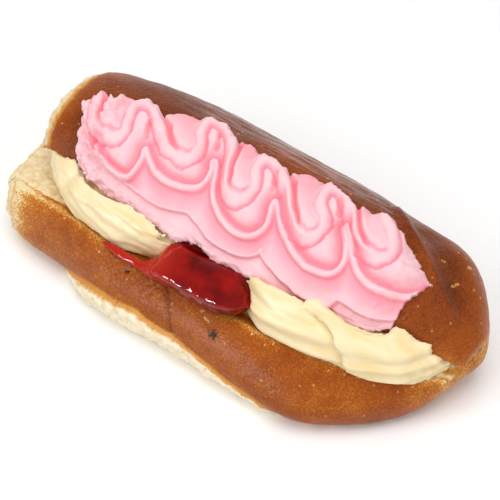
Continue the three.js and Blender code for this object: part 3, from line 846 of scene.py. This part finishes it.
    # the first squeeze of the bag, at the left end, is crumbly, and so is the skirt a little
    in_skirt = add(tree, MATH, {0: 1.0, 1: behind_third}, operation="SUBTRACT")
    in_skirt = add(tree, MATH, {0: in_skirt, 1: SKIRT_CRUMBLE}, operation="MULTIPLY")
    crumbly = add(tree, MATH, {0: left_end, 1: in_skirt}, operation="MAXIMUM")
    crumbs = add(tree, NOISE, {"Vector": flat, "Scale": CRUMBLE_SCALE, "Detail": 4.0})
    for operation, value in (("SUBTRACT", 0.5), ("MULTIPLY", given["Crumbly"]), ("MULTIPLY", crumbly)):
        crumbs = add(tree, MATH, {0: crumbs, 1: value}, operation=operation)
    for operation, value in (("ADD", crumbs), ("MAXIMUM", LEAST_HEIGHT * MM)):
        height = add(tree, MATH, {0: height, 1: value}, operation=operation)
    height = add(
        tree, "GeometryNodeBlurAttribute", {"Value": height, "Iterations": 1, "Weight": BLUR},
        data_type="FLOAT",
    )
    # where each place goes on the lid, for the upper face and for the underside, sunk a little into the crust
    lid_place, lid_outward = (
        add(tree, STORED, {"Name": name}, data_type="FLOAT_VECTOR") for name in ("lid_place", "lid_outward")
    )
    rise, sink = (
        add(tree, VECTOR_MATH, {0: lid_outward, "Scale": value}, operation="SCALE")
        for value in (height, given["Sink"])
    )
    top = add(tree, VECTOR_MATH, {0: lid_place, 1: rise}, operation="ADD")
    bottom = add(tree, VECTOR_MATH, {0: lid_place, 1: sink}, operation="SUBTRACT")
    # the sheet keeps what is inside the front and back edges
    in_front, in_back = (
        add(tree, MATH, {0: edge, 1: SAME_PLACE * MM}, operation="GREATER_THAN")
        for edge in (to_front, to_back)
    )
    kept = add(tree, MATH, {0: in_front, 1: in_back}, operation="MULTIPLY")
    sheet = given["Sheet"]
    for name, value, kind in (
        ("top_place", top, "FLOAT_VECTOR"), ("deep", deep, "FLOAT"), ("kept", kept, "FLOAT"),
    ):
        sheet = add(
            tree, "GeometryNodeStoreNamedAttribute", {"Geometry": sheet, "Name": name, "Value": value},
            data_type=kind, domain="POINT",
        )
    stays = add(tree, STORED, {"Name": "kept"}, data_type="FLOAT")
    lost = add(tree, MATH, {0: stays, 1: 0.5}, operation="LESS_THAN")
    sheet = add(tree, "GeometryNodeDeleteGeometry", {"Geometry": sheet, "Selection": lost}, domain="POINT")
    whole = closed_body(tree, sheet, bottom)
    whole = add(tree, "GeometryNodeSetShadeSmooth", {"Geometry": whole})
    whole = add(tree, "GeometryNodeRealizeInstances", {"Geometry": whole})
    whole = add(tree, "GeometryNodeSetMaterial", {"Geometry": whole, "Material": given["Finish"]})
    add(tree, "NodeGroupOutput", {"Icing": whole}, out=None)
    return tree, sockets


def make_icing(finish):
    ways = {name: drawn_way(name, *runs) for name, runs in WAYS.items()}
    icing = new_piece("piped_icing", lid_sheet())
    follow_rule(icing, *piping_rule(), {
        **ways, "Rope height": ROPE_HEIGHT * MM, "Tongue depth": 0.55, "Lip height": 0.07,
        "Pinch depth": 0.22, "Roll off": 3.0 * MM, "Ragged": 2.6 * MM, "Crumbly": 10.0 * MM,
        "Sink": 0.4 * MM, "Finish": finish,
    })
    for way in ways.values():
        bpy.data.objects.remove(way)
    return icing


# Cream and jam

CREAM_GRAIN = 0.6
RIDGED = (8, 20)  # the ridged right part of the rope comes in between these x
RIDGE_PITCH = 6.8
RIDGE_HEIGHT = 1.3
RIDGE_END = 27.0  # height in mm at which the ridges draw together
RIDGE_CLOSE = 0.35  # by this share
RIDGE_WANDER = (0.12, 20, 4.0)
# Streaks along the rope, a little askew, and the strokes that cross them on the left: how many times longer
# than wide they are, and their rise in y and in z to a mm of x
STREAKS = (11, 0.12, 0.05)
STROKES = (3.5, 0, 0.3)
STREAK_HEIGHT = 0.5
RIDGED_MORE = 0.1  # the streaks are this much higher on the right
# Where the second squeeze of cream on the right laps over the first, and the fold in the left lobe
CREAM_LAP = [(37, -18, 40), (44.6, -22, 38.5), (49, -24.5, 36), (52, -26, 32), (54, -26.5, 27)]
CREAM_FOLD = [(-56, -21.5, 36), (-53, -19, 39.5), (-50, -15, 41.5)]
# Their relief: [height, reach]
LAP_OVER = (1.2, 5)
LAP_UNDER = (-1.8, 2.2)
FOLD_IN = (-1.8, 2.4)
CREAM_LUMPS = [(0.7, 13, 2.0), (0.08, 3, 3.0)]
LAST_LUMPS = [(0.9, 2.6, 8.0)]  # where the bag was pulled off, at the right end
ICING_DENT = (-0.7, 1.5)  # where the icing's edge presses the cream in


def make_cream(icing):
    cream = soft_copy("cream_filling", "cream", CREAM_GRAIN, 3)
    mesh = cream.data
    at, out = places_and_normals(mesh)
    x, y, z = at.T
    right = ease(x, *RIDGED)
    streaks, strokes = (
        np.stack([x / length, y + rise_y * x, z + rise_z * x], 1)
        for length, rise_y, rise_z in (STREAKS, STROKES)
    )
    relief = (STREAK_HEIGHT + RIDGED_MORE * right) * lumps(streaks, 5, 1.0)
    relief += layered(streaks, (0.2, 1.9, 3.0))
    relief += (1 - right) * (layered(strokes, (0.7, 3.4, 5.0)) + layered(at, (0.25, 2.2, 6.0)))
    # on the right the rope shows the nozzle's ridges, drawn together at its end
    pitch = RIDGE_PITCH * (1 - RIDGE_CLOSE * ease(x, 50, 78))
    ridge = (z - RIDGE_END) / pitch + layered(at, RIDGE_WANDER)
    relief += right * RIDGE_HEIGHT * (np.cos(math.pi * ridge) ** 2 - 0.5)
    relief += layered(at, *CREAM_LUMPS)
    # the upper squeeze stands out along the lap, and the lower one drops under it
    lap = away_from(CREAM_LAP, at)
    upper = x > keyed(z, *((lap_z, lap_x) for lap_x, _, lap_z in reversed(CREAM_LAP)))
    over, under = (height * hump(lap, reach) for height, reach in (LAP_OVER, LAP_UNDER))
    relief += np.where(upper, over, under)
    relief += FOLD_IN[0] * hump(away_from(CREAM_FOLD, at), FOLD_IN[1])
    relief += ease(x, 70, 77) * layered(at, *LAST_LUMPS)
    # it gives way under the icing's edge
    surface = surface_of(icing)
    gap = np.array([surface.find_nearest(place)[3] for place in (at + out * relief[:, None]) * MM]) / MM
    relief += ICING_DENT[0] * hump(gap, ICING_DENT[1])
    move_to(mesh, at + out * relief[:, None])
    return cream


JAM_GRAIN = 0.45
JAM_TAIL = (15, 21)  # its tail along the lip begins between these distances to the left of the middle
JAM_THIN = (0, 14)  # and it thins out from the first to the second
JAM_OUT = 0.4  # the jam bulges this much all round
JAM_LUMPS = [(0.7, 8, 1.0), (0.35, 3.0, 3.0)]
TAIL_IN = 0.8  # the tail lies this much lower
# The spoonful rolls over at its lower edge and has a flat face above that: [height, lean in degrees, reach]
JAM_LEANS = [(0.6, 15, 15), (-0.9, 52, 18)]


def make_jam():
    jam = soft_copy("jam_spoonful", "jam", JAM_GRAIN, 10)
    mesh = jam.data
    at, out = places_and_normals(mesh)
    to_left = -at[:, 0]
    in_tail = ease(to_left, *JAM_TAIL)
    lean = np.degrees(np.arcsin(np.clip(out[:, 2], -1, 1)))
    relief = JAM_OUT + layered(at, *JAM_LUMPS)
    relief += (1 - in_tail) * sum(height * hump(lean - middle, reach) for height, middle, reach in JAM_LEANS)
    relief -= in_tail * TAIL_IN
    move_to(mesh, at + out * relief[:, None])
    paint(mesh, "thin", ease(to_left, *JAM_THIN) + 0.25 * lumps(at, 8, 6.0))
    return jam


# Loose crumbs along the base's lip and the torn edges

CRUMB_SIZE = 0.42  # radius in mm
CRUMB_SPREAD = (0.4, 1.4)  # the least and the most of that size, each way
ANY_TURN = (0, 6.3)  # radians
CRUMBS = 0.45  # to a square mm where the bread is at its crumbliest
CRUMB_SEED = 4


def crumb_rule():
    """Geometry nodes that scatter small uneven crumbs over the bun where it is crumbly."""
    tree, sockets, given = new_rule("crumb rule", "Crumbs", {
        "Geometry": ("Nothing",), "Object": ("Bun",), "Float": ("Crumb size", "Crumbs"), "Int": ("Seed",),
        "Material": ("Finish",),
    })
    bread = add(tree, "GeometryNodeObjectInfo", {"Object": given["Bun"]}, out="Geometry")
    crumbly = add(tree, STORED, {"Name": "crumbly"}, data_type="FLOAT")
    density = add(tree, MATH, {0: crumbly, 1: given["Crumbs"]}, operation="MULTIPLY")
    places = add(
        tree, "GeometryNodeDistributePointsOnFaces",
        {"Mesh": bread, "Density": density, "Seed": given["Seed"]}, out="Points", distribute_method="RANDOM",
    )
    crumb = add(
        tree, "GeometryNodeMeshIcoSphere", {"Radius": given["Crumb size"], "Subdivisions": 1}, out="Mesh",
    )
    turn, size = (
        add(
            tree, "FunctionNodeRandomValue", {0: [low] * 3, 1: [high] * 3, "Seed": given["Seed"]},
            data_type="FLOAT_VECTOR",
        )
        for low, high in (ANY_TURN, CRUMB_SPREAD)
    )
    spread = add(
        tree, "GeometryNodeInstanceOnPoints",
        {"Points": places, "Instance": crumb, "Rotation": turn, "Scale": size},
    )
    spread = add(tree, "GeometryNodeRealizeInstances", {"Geometry": spread})
    spread = add(tree, "GeometryNodeSetMaterial", {"Geometry": spread, "Material": given["Finish"]})
    add(tree, "NodeGroupOutput", {"Crumbs": spread}, out=None)
    return tree, sockets


def make_crumbs(finish):
    crumbs = new_piece("loose_crumbs", bpy.data.meshes.new("loose_crumbs"))
    follow_rule(crumbs, *crumb_rule(), {
        "Bun": bun, "Crumb size": CRUMB_SIZE * MM, "Crumbs": CRUMBS / MM ** 2, "Seed": CRUMB_SEED,
        "Finish": finish,
    })
    return crumbs


# Materials

def new_material(name, values):
    """A material with its shader's own values set: the material, its tree and the shader's inputs."""
    material = bpy.data.materials.new(name)
    material.use_nodes = True
    tree = material.node_tree
    skin = tree.nodes["Principled BSDF"].inputs
    for socket, value in values.items():
        skin[socket].default_value = value
    return material, tree, skin


def to_a_metre(size):
    """How many marks of a size in mm go to a metre, which is the scale of their pattern."""
    return 1 / (size * MM)


def icing_finish():
    """Tinted buttercream icing, piped: soft and matt, pale on the crests, with painted shade as a deeper pink
    in the flutes and folds.
    """
    material, tree, skin = new_material("buttercream icing, pink", {
        "Roughness": 0.55, "Specular IOR Level": 0.3,
    })
    coords = add(tree, "ShaderNodeTexCoord", out="Object")
    # the painted shade stored by the piping rule
    deep = add(tree, "ShaderNodeAttribute", out="Fac", attribute_name="deep")
    # patches of about 6 mm where the tint is not quite beaten in
    patches = add(tree, NOISE, {"Vector": coords, "Scale": to_a_metre(6.25), "Detail": 3.0})
    patches = add(tree, RANGE, {"Value": patches, "To Min": -0.14, "To Max": 0.14})
    deep = add(tree, MATH, {0: deep, 1: patches}, operation="ADD")
    # pale where no shade is painted, and deeper pink as painted shade, with the patches added
    tone = add(tree, TONES, {"Fac": deep})
    set_tones(tone.node, (0, "#ffced4"), (0.55, "#ff99a9"), (1, "#f26a80"))
    tree.links.new(tone, skin["Base Color"])
    # sugar grain, drawn at 0.5 mm so that it shows
    grain = add(tree, NOISE, {"Vector": coords, "Scale": to_a_metre(0.5), "Detail": 2.0})
    bump = add(tree, BUMP, {"Height": grain, "Strength": 0.7, "Distance": 0.3 * MM})
    tree.links.new(bump, skin["Normal"])
    return material


# Dark scorched spots on the front crust: [x, y, z, radius], ragged by this much
SCORCHES = [
    (13.2, -35.1, 22.6, 2.0), (12.8, -34.6, 24, 1.5), (11.2, -34.6, 23.4, 1.1), (-22.6, -30.6, 24.4, 0.9),
]
SCORCH_RAGGED = 1.0
# How much of the baking each pattern changes, and the part of a noise's reach that is used
SPECKED, GRAINED, BLOTCHED = 0.24, 0.22, 0.17
NOISE_LOW, NOISE_HIGH = 0.25, 0.75


def bread_finish():
    """Soft bun, oven baked: a brown satin crust with a brushed-on glaze, over a pale open crumb."""
    material, tree, skin = new_material("bun crust and crumb", {
        "Specular IOR Level": 0.1, "Coat Roughness": 0.25,
    })
    coords = add(tree, "ShaderNodeTexCoord", out="Object")
    bake, cut, strip, blister, crack, back, scuff = (
        add(tree, "ShaderNodeAttribute", out="Fac", attribute_name=name)
        for name in ("bake", "cut", "strip", "blister", "crack", "back", "scuff")
    )
    # crust: specks of 0.8 mm in the baking and a grain of 0.4 mm, drawn a little coarse, and blotches of 5 mm
    speck, grain, blotch = (
        add(tree, NOISE, {"Vector": coords, "Scale": to_a_metre(size), "Detail": detail})
        for size, detail in ((0.7692, 2.0), (0.3846, 1.0), (5, 4.0))
    )
    used = {"From Min": NOISE_LOW, "From Max": NOISE_HIGH}
    for pattern, reach in ((speck, SPECKED), (grain, GRAINED), (blotch, BLOTCHED)):
        shade = add(tree, RANGE, {"Value": pattern, **used, "To Min": -reach / 2, "To Max": reach / 2})
        bake = add(tree, MATH, {0: bake, 1: shade}, operation="ADD")
    crust = add(tree, TONES, {"Fac": bake})
    set_tones(
        crust.node, (0, "#efdcae"), (0.12, "#dba14e"), (0.26, "#bd7129"), (0.46, "#a25119"),
        (0.72, "#86401b"), (1, "#5e2912"),
    )
    # pale flecks in cells of 3 mm, about 0.8 mm across, in some of the cells, and the scuffs
    cells = add(
        tree, CELLS, {"Vector": coords, "Scale": to_a_metre(3.03)}, out=None,
        feature="F1", distance="EUCLIDEAN",
    )
    fleck = add(tree, RANGE, {"Value": cells["Distance"], "From Min": 0.17, "From Max": 0.08})
    chance = add(tree, AXES, {0: cells["Color"]}, out="X")
    chance = add(tree, MATH, {0: chance, 1: 0.58}, operation="GREATER_THAN")
    for share in (chance, 0.8):
        fleck = add(tree, MATH, {0: fleck, 1: share}, operation="MULTIPLY")
    rubbed = add(tree, MATH, {0: scuff, 1: speck}, operation="MULTIPLY")
    rubbed = add(tree, RANGE, {"Value": rubbed, "From Min": 0.28, "From Max": 0.42})
    fleck = add(tree, MATH, {0: fleck, 1: rubbed}, operation="MAXIMUM")
    # scorched spots, and the crack painted dark as shade
    ragged = add(
        tree, RANGE, {"Value": speck, **used, "To Min": -SCORCH_RAGGED * MM, "To Max": SCORCH_RAGGED * MM},
    )
    scorch_and_crack_shade = add(tree, MATH, {0: crack, 1: 0.5}, operation="MULTIPLY")
    for *place, radius in SCORCHES:
        gap = add(tree, VECTOR_MATH, {0: coords, 1: Vector(place) * MM}, out="Value", operation="DISTANCE")
        gap = add(tree, MATH, {0: gap, 1: ragged}, operation="ADD")
        spot = add(tree, RANGE, {"Value": gap, "From Min": radius * MM, "From Max": radius * 0.6 * MM})
        scorch_and_crack_shade = add(tree, MATH, {0: scorch_and_crack_shade, 1: spot}, operation="MAXIMUM")
    scorch_and_crack_shade = add(tree, MATH, {0: scorch_and_crack_shade, 1: 0.95}, operation="MULTIPLY")
    # torn edges: golden where the crust ends, then pale crumb with a border ragged by 1.4 mm
    tear = add(tree, NOISE, {"Vector": coords, "Scale": to_a_metre(1.4286), "Detail": 3.0})
    tear = add(tree, RANGE, {"Value": tear, "To Min": -0.3, "To Max": 0.3})
    fine_tear = add(tree, MATH, {0: tear, 1: 0.4}, operation="MULTIPLY")
    cut_edge, strip_edge = (
        add(tree, MATH, {0: edge, 1: ragged_by}, operation="ADD")
        for edge, ragged_by in ((cut, tear), (strip, fine_tear))
    )
    golden, rim, crumb, torn = (
        add(tree, RANGE, {"Value": edge, "From Min": start, "From Max": end})
        for edge, start, end in (
            (cut_edge, 0.1, 0.5), (strip_edge, -0.65, -0.1), (cut_edge, 0.5, 0.85), (strip_edge, -0.05, 0.1),
        )
    )
    golden = add(tree, MATH, {0: golden, 1: rim}, operation="MAXIMUM")
    # open crumb: soft lumps and holes of 2.5 mm in two tones, the holes painted darker as shade, paler in the
    # strip
    holes = add(tree, NOISE, {"Vector": coords, "Scale": to_a_metre(2.5), "Detail": 4.0, "Roughness": 0.6})
    crumb_tone, strip_tone = (add(tree, TONES, {"Fac": holes}) for _ in range(2))
    set_tones(crumb_tone.node, (0.34, "#e3c592"), (0.6, "#f5e3bb"))
    set_tones(strip_tone.node, (0.3, "#eed7a8"), (0.56, "#fff3d9"))
    colour = crust
    for share, tone in (
        (fleck, linear("#d29a5c")), (scorch_and_crack_shade, linear("#240b07")), (golden, linear("#dd9a45")),
        (crumb, crumb_tone), (torn, strip_tone),
    ):
        colour = add(tree, MIX, {0: share, 6: colour, 7: tone}, out=2, data_type="RGBA")
    tree.links.new(colour, skin["Base Color"])
    # the crust is satin, glossier along the back, and the crumb dull
    rough = add(tree, MATH, {0: crumb, 1: torn}, operation="MAXIMUM")
    dull = add(tree, RANGE, {"Value": rough, "To Min": 0.36, "To Max": 0.9})
    polish = add(tree, MATH, {0: back, 1: 0.14}, operation="MULTIPLY")
    dull = add(tree, MATH, {0: dull, 1: polish}, operation="SUBTRACT")
    tree.links.new(dull, skin["Roughness"])
    # wrinkles of 1.4 mm run along the back, and the brushed-on glaze shines in streaks between them
    along = add(tree, "ShaderNodeMapping", {"Vector": coords, "Scale": (0.12, 1.0, 1.0)})
    wrinkle = add(tree, NOISE, {"Vector": along, "Scale": to_a_metre(1.4286), "Detail": 3.0})
    glaze = add(tree, RANGE, {"Value": wrinkle, "From Min": 0.44, "From Max": 0.6, "To Max": 0.75})
    # relief: grain of the crust, those wrinkles, blisters of 1.3 mm and the crumb's holes
    bubbles = add(
        tree, CELLS, {"Vector": coords, "Scale": to_a_metre(1.3333), "Smoothness": 0.5}, out="Distance",
        feature="SMOOTH_F1",
    )
    glaze, wrinkle, bubbles, pits = (
        add(tree, MATH, {0: pattern, 1: where}, operation="MULTIPLY")
        for pattern, where in ((glaze, back), (wrinkle, back), (bubbles, blister), (holes, rough))
    )
    tree.links.new(glaze, skin["Coat Weight"])
    bump = add(tree, BUMP, {"Height": speck, "Strength": 0.8, "Distance": 0.3 * MM})
    for pattern, depth in ((wrinkle, 0.6), (bubbles, -0.7), (pits, 0.7)):
        bump = add(
            tree, BUMP, {"Height": pattern, "Strength": 0.8, "Distance": abs(depth) * MM, "Normal": bump},
            invert=depth < 0,
        )
    tree.links.new(bump, skin["Normal"])
    return material


def cream_finish():
    """Whipped custard cream: pale yellow, soft and slightly see-through."""
    material, tree, skin = new_material("custard cream", {
        "Roughness": 0.45, "Specular IOR Level": 0.35, "Subsurface Weight": 0.25,
        "Subsurface Radius": (1.0, 0.8, 0.5), "Subsurface Scale": 1.5 * MM,
    })
    coords = add(tree, "ShaderNodeTexCoord", out="Object")
    # streaks of 3 mm along the rope, slightly yellower and darker in their grooves, as painted shade
    along = add(tree, "ShaderNodeMapping", {"Vector": coords, "Scale": (0.15, 1.0, 1.0)})
    streak = add(tree, NOISE, {"Vector": along, "Scale": to_a_metre(3.03), "Detail": 3.0})
    tone = add(tree, TONES, {"Fac": streak})
    set_tones(tone.node, (0.3, "#f4da9f"), (0.62, "#fae7be"))
    tree.links.new(tone, skin["Base Color"])
    bump = add(tree, BUMP, {"Height": streak, "Strength": 0.5, "Distance": 0.6 * MM})
    tree.links.new(bump, skin["Normal"])
    return material


def jam_finish():
    """Set strawberry jam: deep red, wet and glossy, with darker bits of fruit."""
    material, tree, skin = new_material("strawberry jam", {"Roughness": 0.05, "Specular IOR Level": 0.3})
    coords = add(tree, "ShaderNodeTexCoord", out="Object")
    # fruit in lumps of about 5 mm
    fruit = add(tree, NOISE, {"Vector": coords, "Scale": to_a_metre(5.263), "Detail": 2.0})
    tone = add(tree, TONES, {"Fac": fruit})
    set_tones(tone.node, (0.38, "#640303"), (0.66, "#920a05"))
    # it is brighter where it is spread thin, over the lip
    thin = add(tree, "ShaderNodeAttribute", out="Fac", attribute_name="thin")
    colour = add(tree, MIX, {0: thin, 6: tone, 7: linear("#b3200f")}, out=2, data_type="RGBA")
    tree.links.new(colour, skin["Base Color"])
    # seeds and shreds of 1.5 mm break its shine
    shreds = add(tree, NOISE, {"Vector": coords, "Scale": to_a_metre(1.5385), "Detail": 2.0})
    bump = add(tree, BUMP, {"Height": shreds, "Strength": 0.5, "Distance": 0.35 * MM})
    tree.links.new(bump, skin["Normal"])
    return material


def crumb_finish():
    """Toasted bread crumbs: dull, golden to brown."""
    material, tree, skin = new_material("toasted bread crumbs", {"Roughness": 0.8, "Specular IOR Level": 0.2})
    coords = add(tree, "ShaderNodeTexCoord", out="Object")
    # one tone to a crumb or so, by patches of 1.5 mm
    toast = add(tree, NOISE, {"Vector": coords, "Scale": to_a_metre(1.5385), "Detail": 2.0})
    tone = add(tree, TONES, {"Fac": toast})
    set_tones(tone.node, (0.35, "#b06d30"), (0.65, "#e6c286"))
    tree.links.new(tone, skin["Base Color"])
    return material


# Stage

FLOOR_HALF = 3.0  # metres
FLOOR_CORNERS = [(-1, -1), (1, -1), (1, 1), (-1, 1)]
SKY = 0.35  # strength of the white light from all round
AIM = Vector((0, 0, 0.02))  # what the lights face, in metres
# Lights: name, place in metres, width, height, power in watts, and whether it shows in colours and in gloss
LIGHTS = [
    ("key light", (-0.45, -0.75, 0.95), 0.7, 0.7, 4.2, True, False),
    ("top light", (0.1, -0.05, 1.15), 0.7, 0.7, 7.0, True, False),
    ("back light", (-0.35, 0.95, 0.13), 0.8, 0.24, 0.8, True, True),
    ("fill light", (0.9, -0.4, 0.8), 0.9, 0.9, 3.0, True, False),
    ("bright card", (-0.3, -0.9, 0.13), 0.35, 0.12, 10.0, False, True),
]


def make_stage():
    scene = bpy.context.scene
    scene.view_settings.view_transform = "Standard"
    world = bpy.data.worlds.new("white studio")
    world.use_nodes = True
    sky = world.node_tree.nodes["Background"].inputs
    sky["Color"].default_value = (1, 1, 1, 1)
    sky["Strength"].default_value = SKY
    scene.world = world
    floor_mesh = bpy.data.meshes.new("floor")
    corners = [(x * FLOOR_HALF, y * FLOOR_HALF, 0) for x, y in FLOOR_CORNERS]
    floor_mesh.from_pydata(corners, [], [(0, 1, 2, 3)])
    floor = new_piece("floor", floor_mesh)
    white = new_material("white paper", {"Base Color": (0.98, 0.98, 0.98, 1), "Roughness": 0.9})[0]
    floor_mesh.materials.append(white)
    for name, place, width, height, watts, in_colour, in_gloss in LIGHTS:
        lamp = bpy.data.lights.new(name, "AREA")
        lamp.shape = "RECTANGLE"
        lamp.size = width
        lamp.size_y = height
        lamp.energy = watts
        light = new_piece(name, lamp)
        light.location = place
        light.visible_diffuse = in_colour
        light.visible_glossy = in_gloss
        light.rotation_euler = (AIM - Vector(place)).to_track_quat("-Z", "Y").to_euler()


# The photograph's view: azimuth and elevation in degrees, distance, target and lens in mm
VIEW_AZIMUTH = 33.7
VIEW_ELEVATION = 50.0
VIEW_DISTANCE = 452.0
VIEW_TARGET = (2.0, 2.8, 18.0)
VIEW_LENS = 100.0


def make_camera():
    turn, rise = math.radians(VIEW_AZIMUTH), math.radians(VIEW_ELEVATION)
    back = Vector((math.sin(turn) * math.cos(rise), -math.cos(turn) * math.cos(rise), math.sin(rise)))
    data = bpy.data.cameras.new("camera")
    data.lens = VIEW_LENS
    camera = new_piece("camera", data)
    camera.location = (Vector(VIEW_TARGET) + back * VIEW_DISTANCE) * MM
    camera.rotation_euler = (-back).to_track_quat("-Z", "Y").to_euler()
    bpy.context.scene.camera = camera


make_camera()
make_stage()
icing = make_icing(icing_finish())
cream = make_cream(icing)
jam = make_jam()
for piece, finish in ((bun, bread_finish()), (cream, cream_finish()), (jam, jam_finish())):
    piece.data.materials.clear()
    piece.data.materials.append(finish)
crumbs = make_crumbs(crumb_finish())
for piece, node in ((bun, "bun"), (cream, "cream"), (jam, "jam"), (icing, "icing")):
    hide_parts(node)
    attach(piece, "root")
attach(crumbs, "root")
